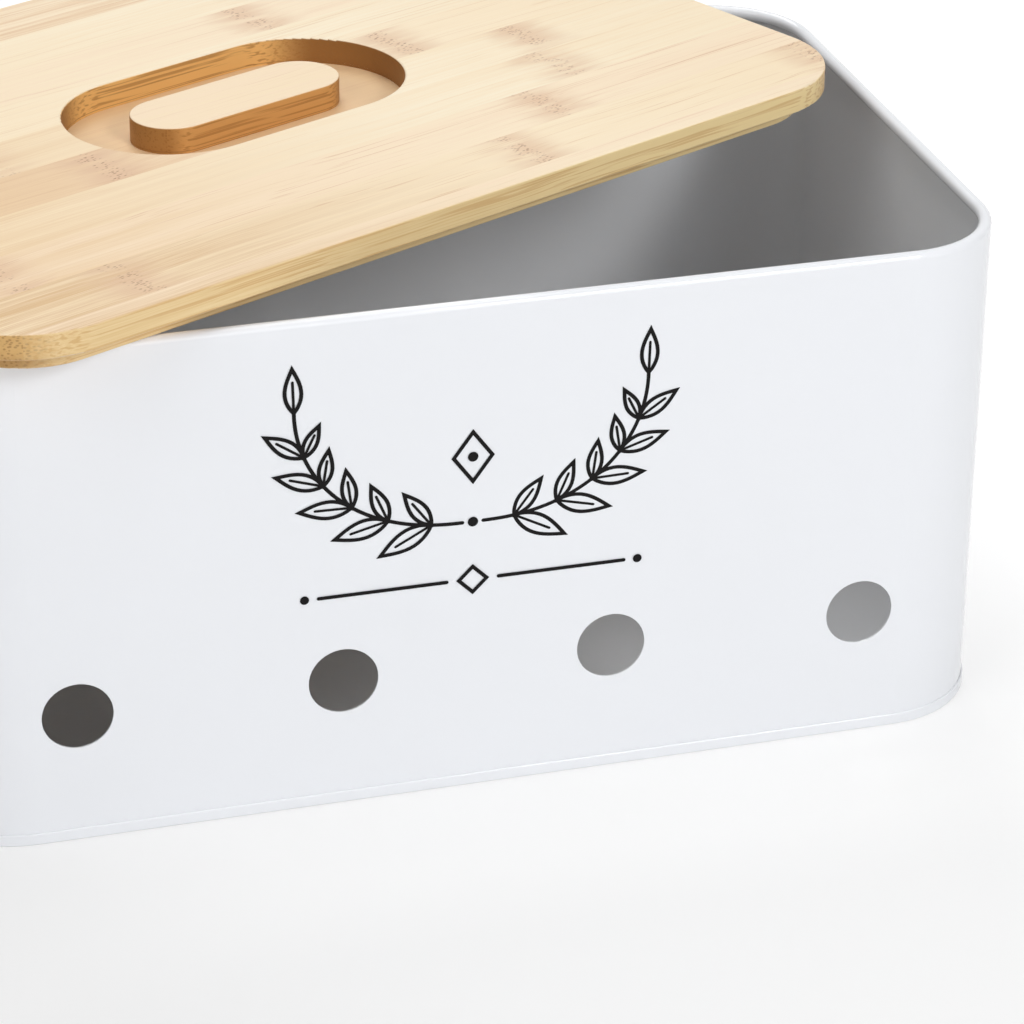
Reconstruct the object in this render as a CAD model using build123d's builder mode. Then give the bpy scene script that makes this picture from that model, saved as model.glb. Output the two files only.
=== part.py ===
from build123d import *
import os

# A potato storage bin: a painted steel box with a rolled rim and a crimped-on bottom, and a
# two-ply bamboo lid that lies askew on the rim. Sizes are in millimetres. The origin is the
# middle of the underside, the long side runs along X and the front with its vents faces -Y.

# Bin: one bent sheet, its top edge rolled inward into a curl.
bin_length = 316.0
bin_depth = 208.0
bin_height = 150.0
bin_corner = 31.5
wall_sheet = 0.6
curl_radius = 1.9

# Bottom pan: a flat floor with a low skirt that is crimped round the wall's foot.
floor_sheet = 0.6
skirt_sheet = 0.5
skirt_height = 3.4
skirt_gap = 0.05
skirt_round = 0.45
foot_round = 0.3

# Vents: four round holes low in the front, set evenly about its middle.
vent_diameter = 20.0
vent_height = 39.0
vent_inner_spacing = 78.0
vent_outer_spacing = 75.0

# Lid: the upper ply covers the bin, the lower ply drops inside the rim.
lid_overhang = 1.0
upper_ply = 7.3
lower_ply = 6.0
lower_ply_setback = 8.0
edge_round = 0.5

# Recess: an oval channel through the upper ply and a little into the lower one, routed round
# an oval grip that stays as high as the lid's top.
recess_length = 111.0
recess_width = 62.5
grip_length = 71.5
grip_width = 24.6
recess_depth = 8.0

# Bamboo strips: both plies are glued up from strips of one width that run along the lid. The
# fourth joint of the upper ply lies along the front side of the recess, and the joints of the
# lower ply fall half a strip further back.
strip_width = 22.4
joint_count = 9
first_upper_joint = -recess_width / 2 - 3 * strip_width
first_lower_joint = first_upper_joint + strip_width / 2

# Where the lid lies: its middle, its turn seen from above, and the height of its underside.
lid_middle_x = -37.4
lid_middle_y = 29.1
lid_turn = 25.67
rest_gap = 0.3

lid_length = bin_length + 2 * lid_overhang
lid_depth = bin_depth + 2 * lid_overhang
lid_corner = bin_corner + lid_overhang
lower_length = lid_length - 2 * lower_ply_setback
lower_depth = lid_depth - 2 * lower_ply_setback
lower_corner = lid_corner - lower_ply_setback

lid_seat = Plane(Location((lid_middle_x, lid_middle_y, bin_height + rest_gap), (0, 0, lid_turn)))
upper_seat = lid_seat.offset(lower_ply)

os.makedirs("parts", exist_ok=True)


def write(solid, name):
    """Label one finished piece and write it to its own file."""
    solid.label = name
    export_step(solid, f"parts/{name}.step")


def joint_lines(depth, first_joint):
    """Where the strips of a ply begin and end, from its front edge to its back edge."""
    joints = [first_joint + strip_width * number for number in range(joint_count)]
    return [-depth / 2] + joints + [depth / 2]


def strips(ply, seat, length, thickness, lines):
    """Cut a ply along its joints, and give each strip's solids from left to right."""
    for front, back in zip(lines, lines[1:]):
        with BuildPart() as strip:
            add(ply)
            with BuildSketch(seat):
                with Locations((0, (front + back) / 2)):
                    Rectangle(2 * length, back - front)
            extrude(amount=thickness, mode=Mode.INTERSECT)
        yield strip.part.solids().sort_by(Axis.X)


# The wall's section is drawn in the middle of the front, with the inward direction to its
# right, and is carried round the outline. The curl is three quarters of a turn.
section_plane = Plane(origin=(0, -bin_depth / 2, 0), x_dir=(0, 1, 0), z_dir=(1, 0, 0))
curl_middle = (curl_radius, bin_height - curl_radius)
wall_straight = bin_height - curl_radius - floor_sheet
with BuildPart() as bin_wall:
    with BuildLine():
        FilletPolyline(
            (0, -bin_depth / 2),
            (bin_length / 2, -bin_depth / 2),
            (bin_length / 2, bin_depth / 2),
            (0, bin_depth / 2),
            radius=bin_corner,
        )
        mirror(about=Plane.YZ)
    with BuildSketch(section_plane):
        with Locations(curl_middle):
            Circle(curl_radius)
            Circle(curl_radius - wall_sheet, mode=Mode.SUBTRACT)
            with Locations((-curl_radius / 2, -curl_radius / 2)):
                Rectangle(curl_radius, curl_radius, mode=Mode.SUBTRACT)
        with Locations((wall_sheet / 2, floor_sheet + wall_straight / 2)):
            Rectangle(wall_sheet, wall_straight)
    sweep()
    vent_reach = vent_inner_spacing / 2 + vent_outer_spacing
    vent_middles = (-vent_reach, -vent_inner_spacing / 2, vent_inner_spacing / 2, vent_reach)
    with BuildSketch(Plane.XZ.offset(bin_depth / 2)):
        with Locations(*[(middle, vent_height) for middle in vent_middles]):
            Circle(vent_diameter / 2)
    extrude(amount=-2 * wall_sheet, mode=Mode.SUBTRACT)
write(bin_wall.part, "bin_wall")

# Bottom pan: a shallow tray whose skirt stands outside the wall, with a rounded shoulder.
skirt_outside = skirt_gap + skirt_sheet
with BuildPart() as bottom_pan:
    with BuildSketch():
        RectangleRounded(
            bin_length + 2 * skirt_outside,
            bin_depth + 2 * skirt_outside,
            bin_corner + skirt_outside,
        )
    extrude(amount=skirt_height)
    fillet(bottom_pan.edges().group_by(Axis.Z)[-1], skirt_round)
    fillet(bottom_pan.edges().group_by(Axis.Z)[0], foot_round)
    with BuildSketch(Plane.XY.offset(floor_sheet)):
        RectangleRounded(
            bin_length + 2 * skirt_gap,
            bin_depth + 2 * skirt_gap,
            bin_corner + skirt_gap,
        )
    extrude(amount=skirt_height, mode=Mode.SUBTRACT)
write(bottom_pan.part, "bottom_pan")

# Upper ply: the lid's outline with the channel cut right through, its edges eased.
with BuildPart() as upper_board:
    with BuildSketch(upper_seat):
        RectangleRounded(lid_length, lid_depth, lid_corner)
    extrude(amount=upper_ply)
    fillet(upper_board.edges().group_by(Axis.Z)[0], edge_round)
    with BuildSketch(upper_seat):
        SlotOverall(recess_length, recess_width)
        SlotOverall(grip_length, grip_width, mode=Mode.SUBTRACT)
    extrude(amount=upper_ply, mode=Mode.SUBTRACT)
    fillet(upper_board.edges().group_by(Axis.Z)[-1], edge_round)

# The channel cuts two of the strips into a left end, a part of the grip and a right end.
grip_names = ["grip_strip_front", "grip_strip_back"]
upper_lines = joint_lines(lid_depth, first_upper_joint)
upper_strips = strips(upper_board.part, upper_seat, lid_length, upper_ply, upper_lines)
for number, pieces in enumerate(upper_strips, start=1):
    name = f"upper_strip_{number:02d}"
    if len(pieces) == 1:
        write(pieces[0], name)
    else:
        left_end, grip_part, right_end = pieces
        write(left_end, name + "_left")
        write(grip_part, grip_names.pop(0))
        write(right_end, name + "_right")

# Lower ply: smaller all round, with the channel's floor let into its top.
with BuildPart() as lower_board:
    with BuildSketch(lid_seat):
        RectangleRounded(lower_length, lower_depth, lower_corner)
    extrude(amount=lower_ply)
    fillet(lower_board.edges().group_by(Axis.Z)[0], edge_round)
    with BuildSketch(upper_seat):
        SlotOverall(recess_length, recess_width)
        SlotOverall(grip_length, grip_width, mode=Mode.SUBTRACT)
    extrude(amount=upper_ply - recess_depth, mode=Mode.SUBTRACT)

lower_lines = joint_lines(lower_depth, first_lower_joint)
lower_strips = strips(lower_board.part, lid_seat, lower_length, lower_ply, lower_lines)
for number, pieces in enumerate(lower_strips, start=1):
    write(pieces[0], f"lower_strip_{number:02d}")
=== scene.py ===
import math

import bpy
from mathutils import Matrix, Vector


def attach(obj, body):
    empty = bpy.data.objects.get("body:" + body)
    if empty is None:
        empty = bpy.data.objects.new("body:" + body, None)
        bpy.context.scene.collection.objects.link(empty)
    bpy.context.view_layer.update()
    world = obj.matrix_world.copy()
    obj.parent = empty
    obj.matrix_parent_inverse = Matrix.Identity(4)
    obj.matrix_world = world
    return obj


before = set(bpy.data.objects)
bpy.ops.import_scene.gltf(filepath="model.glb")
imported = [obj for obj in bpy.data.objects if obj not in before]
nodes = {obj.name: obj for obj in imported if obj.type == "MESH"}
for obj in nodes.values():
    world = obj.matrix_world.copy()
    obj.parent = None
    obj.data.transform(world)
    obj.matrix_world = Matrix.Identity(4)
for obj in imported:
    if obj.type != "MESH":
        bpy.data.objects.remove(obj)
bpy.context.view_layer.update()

# Sizes are in metres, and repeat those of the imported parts. Grain is drawn in millimetres of
# the lid's own axes, where x runs along the strips and z starts at the lid's underside.
BIN_LENGTH, BIN_DEPTH, BIN_HEIGHT = 0.316, 0.208, 0.150
BIN_CORNER = 0.0315
HALF_SHEET = 0.0003
CURL = 0.0038
LID_MIDDLE = (-0.0374, 0.0291, 0.1503)
LID_TURN = math.radians(25.67)
LOWER_PLY = 6.0
RECESS_HALF_LENGTH, RECESS_HALF_WIDTH = 55.5, 31.25


# ---------------------------------------------------------------- shader nodes

class Tree:
    """One node tree: makes nodes and links them as they are made."""

    def __init__(self, tree):
        self.tree = tree
        tree.nodes.clear()

    def put(self, kind, inputs=(), **settings):
        node = self.tree.nodes.new("ShaderNode" + kind)
        for name, value in settings.items():
            setattr(node, name, value)
        for name, value in dict(inputs).items():
            if isinstance(value, bpy.types.NodeSocket):
                self.tree.links.new(value, node.inputs[name])
            else:
                node.inputs[name].default_value = value
        return node

    def math(self, operation, *values):
        return self.put("Math", enumerate(values), operation=operation).outputs[0]

    def add(self, *values):
        total = values[0]
        for value in values[1:]:
            total = self.math("ADD", total, value)
        return total

    def times(self, *values):
        total = values[0]
        for value in values[1:]:
            total = self.math("MULTIPLY", total, value)
        return total

    def rest(self, value):
        """What is left of 1 when value is taken away."""
        return self.math("SUBTRACT", 1.0, value)

    def vector(self, operation, *values, out="Vector"):
        return self.put("VectorMath", enumerate(values), operation=operation).outputs[out]

    def xyz(self, vector):
        return self.put("SeparateXYZ", {0: vector}).outputs

    def step(self, value, low, high, to_low=0.0, to_high=1.0):
        """A smooth step from to_low at low to to_high at high. low may be over high."""
        if low > high:
            low, high, to_low, to_high = high, low, to_high, to_low
        inputs = {"Value": value, "From Min": low, "From Max": high,
                  "To Min": to_low, "To Max": to_high}
        return self.put("MapRange", inputs, interpolation_type="SMOOTHSTEP").outputs[0]

    def near(self, value, middle, half_width):
        """1 where value is middle, falling smoothly to 0 at half_width on each side."""
        away = self.math("ABSOLUTE", self.math("SUBTRACT", value, middle))
        return self.step(away, half_width, 0.0)

    def swing(self, value, size):
        """A noise value moved to swing about 0, times size."""
        return self.times(self.math("SUBTRACT", value, 0.5), size)

    def mix(self, factor, first, second):
        inputs = {0: factor, 6: first, 7: second}
        return self.put("Mix", inputs, data_type="RGBA").outputs[2]

    def noise(self, vector, scale=1.0, detail=2.0, roughness=0.5):
        inputs = {"Vector": vector, "Scale": scale, "Detail": detail, "Roughness": roughness}
        return self.put("TexNoise", inputs).outputs["Fac"]

    def cells(self, vector):
        return self.put("TexVoronoi", {"Vector": vector, "Scale": 1.0}).outputs["Distance"]


def srgb(red, green, blue):
    """A colour given as 0-255 screen values, in the linear values that shaders take."""
    def linear(value):
        value /= 255
        return value / 12.92 if value <= 0.04045 else ((value + 0.055) / 1.055) ** 2.4
    return linear(red), linear(green), linear(blue), 1.0


def material(name):
    made = bpy.data.materials.new(name)
    made.use_nodes = True
    return made, Tree(made.node_tree)


def dress(node_name, made):
    mesh = nodes[node_name].data
    mesh.materials.clear()
    mesh.materials.append(made)


def add_mesh(name, vertices, faces):
    mesh = bpy.data.meshes.new(name)
    mesh.from_pydata(vertices, [], faces)
    made = bpy.data.objects.new(name, mesh)
    bpy.context.scene.collection.objects.link(made)
    return made


# ---------------------------------------------------------------- camera

# The camera was solved from the outlines of the bin and the lid in the photograph.
CAMERA_PLACE = (-0.26135, -1.03260, 0.58240)
CAMERA_AZIMUTH = math.radians(16.2580)
CAMERA_DOWN = math.radians(27.1944)
CAMERA_ROLL = math.radians(0.5242)
CAMERA_LENS = 3932.08 / 1024 * 36

forward = Vector((math.sin(CAMERA_AZIMUTH) * math.cos(CAMERA_DOWN),
                  math.cos(CAMERA_AZIMUTH) * math.cos(CAMERA_DOWN),
                  -math.sin(CAMERA_DOWN)))
level_right = Vector((math.cos(CAMERA_AZIMUTH), -math.sin(CAMERA_AZIMUTH), 0))
level_up = level_right.cross(forward)
right = level_right * math.cos(CAMERA_ROLL) + level_up * math.sin(CAMERA_ROLL)
up = level_up * math.cos(CAMERA_ROLL) - level_right * math.sin(CAMERA_ROLL)
camera_data = bpy.data.cameras.new("camera")
camera_data.sensor_width = 36
camera_data.lens = CAMERA_LENS
camera_data.clip_start = 0.05
camera_data.clip_end = 60
camera = bpy.data.objects.new("camera", camera_data)
turn = Matrix((right, up, -forward)).transposed()
camera.matrix_world = Matrix.Translation(CAMERA_PLACE) @ turn.to_4x4()
bpy.context.scene.collection.objects.link(camera)
bpy.context.scene.camera = camera
bpy.context.scene.view_settings.view_transform = "Standard"


# ---------------------------------------------------------------- floor, world, lamps

def seen_directly(t):
    """1 for what the camera sees, straight, in a gloss or through glass, and 0 for lighting."""
    ray = t.put("LightPath").outputs
    return t.math("MAXIMUM", ray["Is Camera Ray"],
                  t.math("MAXIMUM", ray["Is Glossy Ray"], ray["Is Transmission Ray"]))


# For lighting, the floor is plain and pale. Where it is seen it also glows, more towards the
# back and the right, so that it meets the white world there and still keeps the shadow.
FLOOR_HALF, FLOOR_LEVEL = 12.0, -0.0002
FLOOR_CORNERS = [(side_x * FLOOR_HALF, side_y * FLOOR_HALF, FLOOR_LEVEL)
                 for side_x, side_y in ((-1, -1), (1, -1), (1, 1), (-1, 1))]
FLOOR_GLOW_NEAR, FLOOR_GLOW_FAR = 0.44, 0.64
floor = add_mesh("floor", FLOOR_CORNERS, [(0, 1, 2, 3)])
made, t = material("floor_pale")
lit = t.put("BsdfDiffuse", {"Color": (0.88, 0.88, 0.88, 1)}).outputs[0]
shadowed = t.put("BsdfDiffuse", {"Color": (0.50, 0.50, 0.50, 1)}).outputs[0]
x, y, z = t.xyz(t.put("TexCoord").outputs["Object"])
strength = t.step(t.add(x, y), -0.4, 0.6, FLOOR_GLOW_NEAR, FLOOR_GLOW_FAR)
glow = t.put("Emission", {"Color": (1, 1, 1, 1), "Strength": strength}).outputs[0]
lifted = t.put("AddShader", {0: shadowed, 1: glow}).outputs[0]
shader = t.put("MixShader", {0: seen_directly(t), 1: lit, 2: lifted}).outputs[0]
t.put("OutputMaterial", {"Surface": shader})
floor.data.materials.append(made)

# The world is white where it is seen, and lights the object softly.
WORLD_LIGHT = 0.14
world = bpy.data.worlds.new("studio")
world.use_nodes = True
bpy.context.scene.world = world
t = Tree(world.node_tree)
strength = t.step(seen_directly(t), 0.0, 1.0, WORLD_LIGHT, 1.0)
shader = t.put("Background", {"Color": (1, 1, 1, 1), "Strength": strength}).outputs[0]
t.put("OutputWorld", {"Surface": shader})

# Softboxes, as (azimuth from the front towards the right, height in degrees, size, watts). The
# key is small, so that its light keeps an edge inside the bin and shines through the vents.
LAMPS = {
    "lamp_key": (24, 34, 0.5, 15.5),
    "lamp_left": (-60, 35, 1.2, 9.0),
    "lamp_low": (10, 10, 1.2, 9.0),
    "lamp_top": (0, 88, 1.2, 12.5),
    "lamp_back": (180, 50, 1.2, 15.0),
}
LAMP_AIM = Vector((0, 0, 0.08))
LAMP_DISTANCE = 2.2
for name, (azimuth, height, size, watts) in LAMPS.items():
    azimuth, height = math.radians(azimuth), math.radians(height)
    outward = Vector((math.cos(height) * math.sin(azimuth),
                      -math.cos(height) * math.cos(azimuth), math.sin(height)))
    data = bpy.data.lights.new(name, "AREA")
    data.size = size
    data.energy = watts
    lamp = bpy.data.objects.new(name, data)
    lamp.matrix_world = (Matrix.Translation(LAMP_AIM + outward * LAMP_DISTANCE)
                         @ outward.to_track_quat("Z", "Y").to_matrix().to_4x4())
    bpy.context.scene.collection.objects.link(lamp)


# ---------------------------------------------------------------- painted steel

def paint(name, inner_bottom):
    """White gloss enamel outside and on the curl, with the faint cloudiness and ripple of a
    sprayed sheet. Inside, the same white is painted a little greyer, as painted shade for the
    bin's shaded interior; this painted shade begins above inner_bottom."""
    made, t = material(name)
    place = t.put("TexCoord").outputs["Object"]
    x, y, z = t.xyz(place)

    # How far a point reaches into its corner's arc tells the inner face from the outer one.
    past = []
    for value, half in ((x, BIN_LENGTH / 2), (y, BIN_DEPTH / 2)):
        over = t.math("SUBTRACT", t.math("ABSOLUTE", value), half - BIN_CORNER)
        past.append(t.math("MAXIMUM", over, 0.0))
    reach = t.vector("LENGTH", t.put("CombineXYZ", enumerate(past)).outputs[0], out="Value")
    below_curl = BIN_HEIGHT - CURL - 0.0001
    inside = t.times(t.math("LESS_THAN", reach, BIN_CORNER - HALF_SHEET),
                     t.math("LESS_THAN", z, below_curl),
                     t.math("GREATER_THAN", z, inner_bottom))
    cloud = t.noise(place, 9.0)
    outer = t.mix(cloud, srgb(240, 242, 246), srgb(243, 245, 249))
    # Painted shade: the inside gets a greyer copy of the outer white.
    inner_painted_shade = t.mix(cloud, srgb(234, 236, 239), srgb(236, 238, 241))
    colour = t.mix(inside, outer, inner_painted_shade)
    roughness = t.step(t.noise(place, 30.0), 0.3, 0.7, 0.07, 0.11)
    ripple = t.add(t.times(t.noise(place, 60.0), 0.9), t.times(t.noise(place, 900.0), 0.1))
    bump = t.put("Bump", {"Height": ripple, "Strength": 0.05, "Distance": 0.001}).outputs[0]
    shader = t.put("BsdfPrincipled", {
        "Base Color": colour, "Roughness": roughness, "Specular IOR Level": 0.5,
        "Normal": bump})
    t.put("OutputMaterial", {"Surface": shader.outputs[0]})
    return made


dress("bin_wall", paint("wall_paint_gloss", inner_bottom=-1.0))
dress("bottom_pan", paint("pan_paint_gloss", inner_bottom=HALF_SHEET))


# ---------------------------------------------------------------- bamboo

# How far the swelling and the shade round a strip's node reach along it.
MARK_REACH = 16.0


def bamboo(name, seed, left, right, shade, marks=(), streaks=0.3):
    """One strip of bamboo. Fibres run along x, so they show as lines on the top and the long
    edges and as dots on the end grain. left and right are the tones at the lid's two ends; a
    darker left tone is partly the strip's own colour and partly painted shade. shade is the tone
    of the darker fibre, marks holds the strip's nodes, as (x, strength), and streaks is how
    strongly its hair lines show."""
    made, t = material(name)
    place = t.put("TexCoord").outputs["Object"]
    lid_axes = {"Vector": place, "Location": LID_MIDDLE, "Rotation": (0, 0, LID_TURN),
                "Scale": (0.001, 0.001, 0.001)}
    own = t.put("Mapping", lid_axes, vector_type="TEXTURE").outputs[0]
    x, y, z = t.xyz(own)
    normal = t.put("NewGeometry").outputs["Normal"]
    along = (math.cos(LID_TURN), math.sin(LID_TURN), 0)
    end_on = t.math("ABSOLUTE", t.vector("DOT_PRODUCT", normal, along, out="Value"))
    level = t.math("ABSOLUTE", t.vector("DOT_PRODUCT", normal, (0, 0, 1), out="Value"))
    top = t.step(level, 0.35, 0.85)
    end_grain = t.step(end_on, 0.25, 0.75)

    # The fibres wander a little across the strip, and swell round its nodes.
    wander = t.swing(t.noise(t.vector("MULTIPLY", own, (0.012, 0.03, 0.03))), 5.0)
    for mark_x, strength in marks:
        swell = t.near(x, mark_x, MARK_REACH)
        wander = t.add(wander, t.times(swell, 0.5 * strength))
    offset = t.put("CombineXYZ", {0: 37.0 * seed, 1: wander, 2: t.times(wander, 0.6)}).outputs[0]
    grown = t.vector("ADD", t.vector("ADD", own, offset), (0.0, 11.3 * seed, 5.7 * seed))

    def fibre(across, lengthwise, detail=2.0, roughness=0.5):
        scaled = t.vector("MULTIPLY", grown, (lengthwise, across, across))
        return t.noise(scaled, 1.0, detail, roughness)

    fine = fibre(2.6, 0.030, 2.0, 0.6)
    medium = fibre(0.60, 0.010)
    broad = fibre(0.11, 0.004)
    tone = t.add(t.swing(fine, 1.4), t.swing(medium, 1.4), t.swing(broad, 1.2), 0.36)
    tone = t.put("Clamp", {0: tone}).outputs[0]

    # The ground goes from the left tone to the right one, and darkens again at the far right. The
    # darker left tones are partly the strips' own colour and partly painted shade for the lid's
    # less lit left end.
    ground = t.mix(t.step(t.add(x, t.swing(broad, 90.0)), -150.0, 60.0), left, right)
    ground = t.mix(t.step(x, 30.0, 150.0, 0.0, 0.35), ground, shade)
    colour = t.mix(tone, ground, shade)

    # Sparse hair lines of darker fibre.
    hair = t.times(t.step(fibre(1.9, 0.014, 1.0), 0.58, 0.70), t.step(medium, 0.35, 0.65), streaks)
    colour = t.mix(hair, colour, srgb(212, 168, 124))

    # The edges are cut across the layers of fibre: long orange-brown lines on a straw ground.
    edge_line = t.step(fibre(1.3, 0.011, 1.0), 0.50, 0.64)
    edge_tone = t.add(t.swing(fine, 1.2), t.swing(medium, 1.0), 0.4)
    edge_tone = t.put("Clamp", {0: edge_tone}).outputs[0]
    side = t.mix(edge_tone, srgb(241, 214, 164), srgb(222, 186, 126))
    # Painted light: towards the right the edges are painted lighter, where the lid's long edge is
    # more lit.
    side = t.mix(t.step(x, -90.0, 120.0, 0.0, 0.8), side, srgb(255, 230, 172))
    side = t.mix(t.times(edge_line, 0.45), side, srgb(204, 152, 86))

    # Ends show the fibre bundles as dots, denser towards the strip's underside.
    bundle = t.cells(t.vector("MULTIPLY", grown, (0.05, 1.25, 1.25)))
    bottom = t.step(z, LOWER_PLY + 2.5, LOWER_PLY + 0.3)
    dots = t.step(bundle, 0.50, 0.18)
    end = t.mix(t.swing(medium, 1.5), srgb(212, 170, 108), srgb(196, 150, 88))
    end = t.mix(t.times(dots, 0.62), end, srgb(146, 100, 52))
    end = t.mix(t.times(bottom, 0.25), end, srgb(150, 104, 56))
    side = t.mix(end_grain, side, end)

    # The routed channel's walls are painted darker: partly burn from the cutter and partly painted
    # shade inside the recess, darkest on the ends of the outer wall. The distance from the
    # recess's
    # middle line tells them apart: the grip's wall is about 12 mm off, the outer wall 31 mm.
    past_line = t.math("SUBTRACT", t.math("ABSOLUTE", x), RECESS_HALF_LENGTH - RECESS_HALF_WIDTH)
    past_line = t.math("MAXIMUM", past_line, 0.0)
    from_line = t.put("CombineXYZ", {0: past_line, 1: y}).outputs[0]
    from_line = t.vector("LENGTH", from_line, out="Value")
    routed = t.step(from_line, RECESS_HALF_WIDTH + 1.2, RECESS_HALF_WIDTH + 0.6)
    outer_wall = t.step(from_line, 16.0, 26.0)
    long_wall = t.mix(outer_wall, srgb(214, 158, 90), srgb(238, 188, 114))
    end_wall = t.mix(outer_wall, srgb(174, 122, 64), srgb(142, 94, 44))
    burn_and_painted_shade = t.mix(end_grain, long_wall, end_wall)
    scorch = t.math("MAXIMUM", t.times(edge_line, t.rest(end_grain)), t.times(dots, end_grain))
    burn_and_painted_shade = t.mix(t.times(scorch, 0.6), burn_and_painted_shade, srgb(156, 104, 50))
    side = t.mix(t.times(routed, 0.92), side, burn_and_painted_shade)
    colour = t.mix(top, side, colour)

    # A node is a band of short dark dashes across the strip, with a rosy brown shade round it.
    # It doesn't show on the channel's walls, where the cutter has burnt it away.
    plain = t.rest(t.times(routed, t.rest(top)))
    for mark_x, strength in marks:
        slip = t.swing(t.noise(t.vector("MULTIPLY", grown, (0.0, 0.14, 0.14))), 7.0)
        away = t.math("ABSOLUTE", t.math("SUBTRACT", t.add(x, slip), mark_x))
        patchy = t.step(t.noise(t.vector("MULTIPLY", grown, (0.05, 0.22, 0.22))), 0.30, 0.62)
        halo = t.times(t.step(away, MARK_REACH, 1.0), t.add(t.times(patchy, 0.6), 0.25),
                       plain, 0.75 * strength)
        colour = t.mix(halo, colour, srgb(220, 182, 148))
        dash = t.cells(t.vector("MULTIPLY", grown, (0.55, 1.5, 1.5)))
        dash = t.times(t.step(dash, 0.40, 0.20), t.step(away, 4.2, 2.0),
                       t.step(patchy, 0.15, 0.7), plain)
        colour = t.mix(t.times(dash, 0.7 * strength), colour, srgb(158, 112, 82))

    # The glue line between the plies.
    glue = t.times(t.near(z, LOWER_PLY, 0.22), t.rest(top))
    colour = t.mix(t.times(glue, 0.6), colour, srgb(138, 94, 52))

    height = t.add(t.times(fine, 0.5), t.times(bundle, end_grain, 0.8))
    bump = t.put("Bump", {"Height": height, "Strength": 0.12, "Distance": 0.0004}).outputs[0]
    shader = t.put("BsdfPrincipled", {
        "Base Color": colour, "Roughness": 0.5, "Specular IOR Level": 0.35, "Normal": bump})
    t.put("OutputMaterial", {"Surface": shader.outputs[0]})
    return made


PALE, CREAM, PEACH = srgb(254, 240, 212), srgb(253, 235, 204), srgb(249, 227, 191)
ROSY, TAN, BROWN = srgb(249, 225, 194), srgb(233, 200, 155), srgb(228, 192, 150)
STRAW = srgb(218, 181, 132)

# The upper ply's pieces, each as (left tone, right tone, fibre tone, nodes, hair lines). The
# darker left tones, STRAW and TAN, hold painted shade as well as the bamboo's own colour.
STRIPS = {
    "upper_strip_01": (STRAW, CREAM, ROSY, (), 0.3),
    "upper_strip_02": (STRAW, CREAM, PEACH, ((-103, 1), (35, 1), (153, 1)), 0.6),
    "upper_strip_03": (TAN, CREAM, ROSY, ((-130, 1), (64, 1)), 0.65),
    "upper_strip_04": (TAN, PALE, PEACH, ((88, 0.9),), 0.2),
    "upper_strip_05_left": (TAN, ROSY, BROWN, ((-63, 1.2),), 0.3),
    "upper_strip_05_right": (PEACH, PALE, PEACH, ((97, 1),), 0.25),
    "grip_strip_front": (PEACH, PEACH, ROSY, (), 0.3),
    "grip_strip_back": (PEACH, PEACH, ROSY, (), 0.3),
    "upper_strip_06_left": (TAN, CREAM, PEACH, ((-86, 0.5),), 0.25),
    "upper_strip_06_right": (PEACH, CREAM, PEACH, ((63, 1),), 0.3),
    "upper_strip_07": (PEACH, PALE, PEACH, (), 0.35),
    "upper_strip_08": (PEACH, CREAM, ROSY, ((43, 1),), 0.3),
    "upper_strip_09": (PEACH, PALE, PEACH, (), 0.25),
    "upper_strip_10": (ROSY, CREAM, BROWN, (), 0.6),
}
for seed, (name, look) in enumerate(STRIPS.items(), start=1):
    dress(name, bamboo("bamboo_" + name, seed, *look))

# The lower ply's pieces share one look, and their seeds follow on from LOWER_SEED.
LOWER_STRIP_COUNT, LOWER_SEED = 10, 20
for number in range(1, LOWER_STRIP_COUNT + 1):
    name = f"lower_strip_{number:02d}"
    dress(name, bamboo("bamboo_" + name, LOWER_SEED + number, TAN, TAN, BROWN))


# ---------------------------------------------------------------- printed sprigs

# A plain printed ornament stands where the front is decorated: two leafy sprigs in thin black
# line, and a rule with a diamond under them. It is drawn in millimetres of the front face.
PRINT_Y = -BIN_DEPTH / 2 * 1000 - 0.04
PRINT_LAYER = 0.0015
PRINT_MIDDLE = -1.8
LINE = 1.1
VEIN = 0.7 * LINE
MITRE_LIMIT = 0.35
SPRIG_Z, DIAMOND_Z, RULE_Z = 84.0, 104.0, 66.0
SPRIG_START, SPRIG_LENGTH, SPRIG_HEIGHT = 3, 47, 44
STEM_STEPS, LEAF_STEPS = 40, 12
LEAF_PARTS = (0.10, 0.27, 0.44, 0.61, 0.78)
LEAF_LENGTH, LEAF_TAPER = 16.5, 0.9
TIP_LENGTH, TIP_WIDTH = 13.0, 4.6
RULE_START, RULE_END, RULE_DOT_X = 7.5, 44.0, 48.0
DOT, RULE_DOT = 1.5, 1.3


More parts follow.
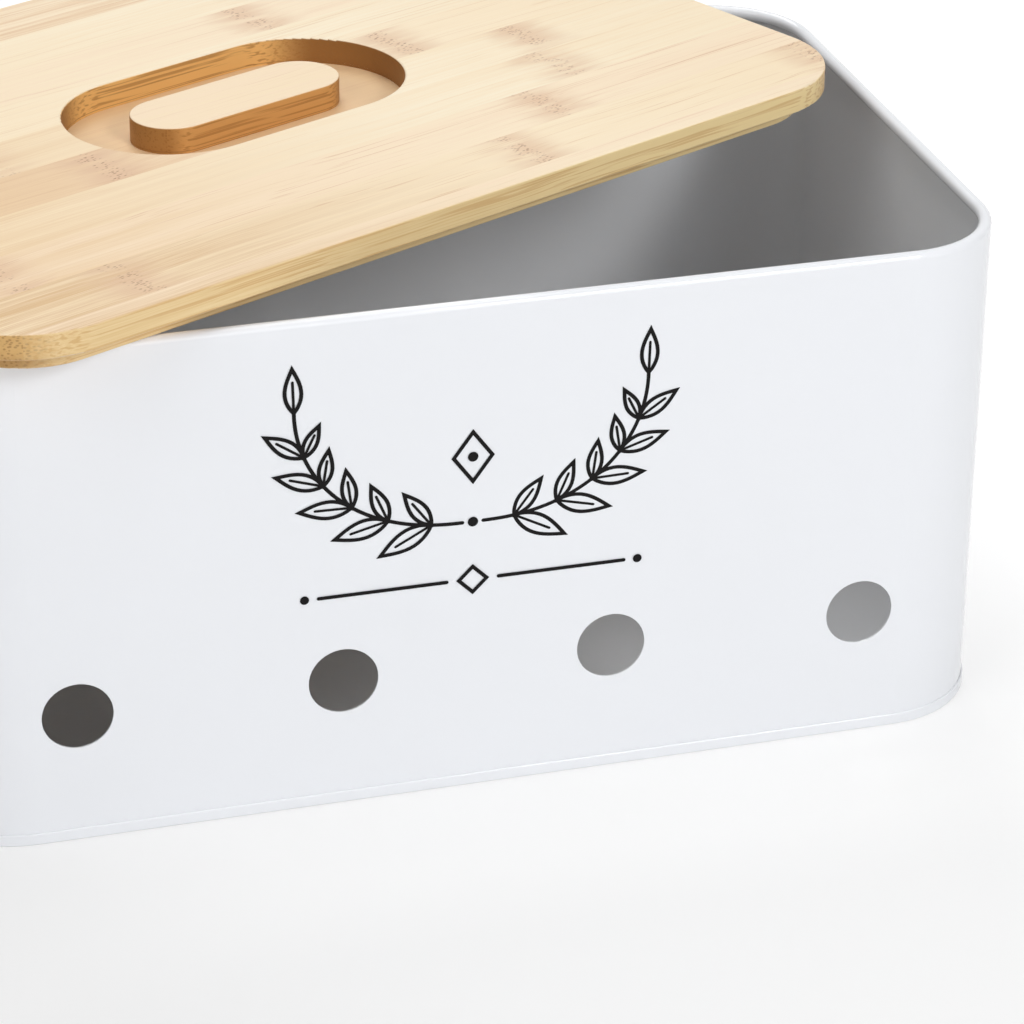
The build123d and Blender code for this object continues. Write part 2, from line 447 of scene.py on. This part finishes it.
class Print:
    """Flat ribbons on the front face, all in one mesh. Each lies a hair over the one before,
    so that no two faces share a plane where ribbons cross."""

    def __init__(self):
        self.vertices, self.faces = [], []
        self.level = PRINT_Y

    def disc(self, x, z, radius, sides=16):
        first = len(self.vertices)
        self.level -= PRINT_LAYER
        for number in range(sides):
            angle = 2 * math.pi * number / sides
            self.vertices.append((x + radius * math.cos(angle), self.level,
                                  z + radius * math.sin(angle)))
        self.faces.append(tuple(range(first, first + sides)))

    def stroke(self, points, width=LINE, closed=False):
        """A ribbon along points, mitred at each of them, with round ends if it is open."""
        points = [Vector(point) for point in points]
        count = len(points)
        first = len(self.vertices)
        self.level -= PRINT_LAYER
        for number, point in enumerate(points):
            before = points[number - 1] if closed or number else point
            after = points[(number + 1) % count] if closed or number < count - 1 else point
            ahead, behind = after - point, point - before
            ahead = ahead.normalized() if ahead.length else behind.normalized()
            behind = behind.normalized() if behind.length else ahead
            way = (ahead + behind).normalized()
            side = Vector((-way.y, way.x))
            reach = width / 2 / max(MITRE_LIMIT, abs(way.dot(ahead)))
            for offset in (side * reach, -side * reach):
                x, z = point + offset
                self.vertices.append((x, self.level, z))
        for number in range(count if closed else count - 1):
            a, b = first + 2 * number, first + 2 * ((number + 1) % count)
            self.faces.append((a, a + 1, b + 1, b))
        if not closed:
            for point in (points[0], points[-1]):
                self.disc(*point, width / 2)

    def make(self, name):
        placed = [Vector(vertex) / 1000 for vertex in self.vertices]
        return add_mesh(name, placed, self.faces)


def leaf(printed, root, angle, length, width):
    """A pointed leaf: an outline from root to tip and back, and a vein most of the way."""
    along = Vector((math.cos(angle), math.sin(angle)))
    side = Vector((-along.y, along.x))
    root = Vector(root)

    def edge(part, way):
        swell = math.sin(math.pi * part ** 0.85) * width / 2
        return root + along * length * part + side * swell * way

    parts = [step / LEAF_STEPS for step in range(LEAF_STEPS + 1)]
    outline = [edge(part, 1) for part in parts] + [edge(part, -1) for part in parts[-2:0:-1]]
    printed.stroke(outline, closed=True)
    printed.stroke([root + along * length * part for part in (0.02, 0.35, 0.7)], VEIN)


def sprig(printed, side):
    """One branch that leaves the middle and curves out and up, with leaves on both sides. The
    leaves outside the curve are larger than those inside it."""
    def point(part):
        across = math.sin(math.radians(90 * part)) ** 0.9
        rise = 1 - math.cos(math.radians(84 * part))
        return Vector((PRINT_MIDDLE + side * (SPRIG_START + SPRIG_LENGTH * across),
                       SPRIG_Z + SPRIG_HEIGHT * rise))

    printed.stroke([point(number / STEM_STEPS) for number in range(STEM_STEPS + 1)])
    for number, part in enumerate(LEAF_PARTS):
        here = point(part)
        way = point(part + 0.02) - here
        heading = math.atan2(way.y, way.x)
        size = LEAF_LENGTH - LEAF_TAPER * number
        leaf(printed, here, heading - 0.62 * side, size, size * 0.34)
        leaf(printed, here, heading + 0.80 * side, size * 0.78, size * 0.27)
    way = point(1.0) - point(0.97)
    leaf(printed, point(1.0), math.atan2(way.y, way.x), TIP_LENGTH, TIP_WIDTH)


def diamond(printed, z, half_width, half_height):
    """A four-cornered outline on the ornament's middle line."""
    printed.stroke([(PRINT_MIDDLE, z + half_height), (PRINT_MIDDLE + half_width, z),
                    (PRINT_MIDDLE, z - half_height), (PRINT_MIDDLE - half_width, z)],
                   closed=True)


printed = Print()
for side in (1, -1):
    sprig(printed, side)
diamond(printed, DIAMOND_Z, 5.5, 7.5)
printed.disc(PRINT_MIDDLE, DIAMOND_Z, DOT)
printed.disc(PRINT_MIDDLE, SPRIG_Z, DOT)
for side in (1, -1):
    printed.stroke([(PRINT_MIDDLE + side * x, RULE_Z) for x in (RULE_START, RULE_END)])
    printed.disc(PRINT_MIDDLE + side * RULE_DOT_X, RULE_Z, RULE_DOT)
diamond(printed, RULE_Z, 4.0, 4.0)
ornament = printed.make("printed_sprigs")
made, t = material("print_black")
place = t.put("TexCoord").outputs["Object"]
colour = t.mix(t.noise(place, 60.0), srgb(16, 14, 14), srgb(24, 22, 22))
shader = t.put("BsdfPrincipled", {
    "Base Color": colour, "Roughness": 0.45, "Specular IOR Level": 0.12})
t.put("OutputMaterial", {"Surface": shader.outputs[0]})
ornament.data.materials.append(made)
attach(ornament, "bin")
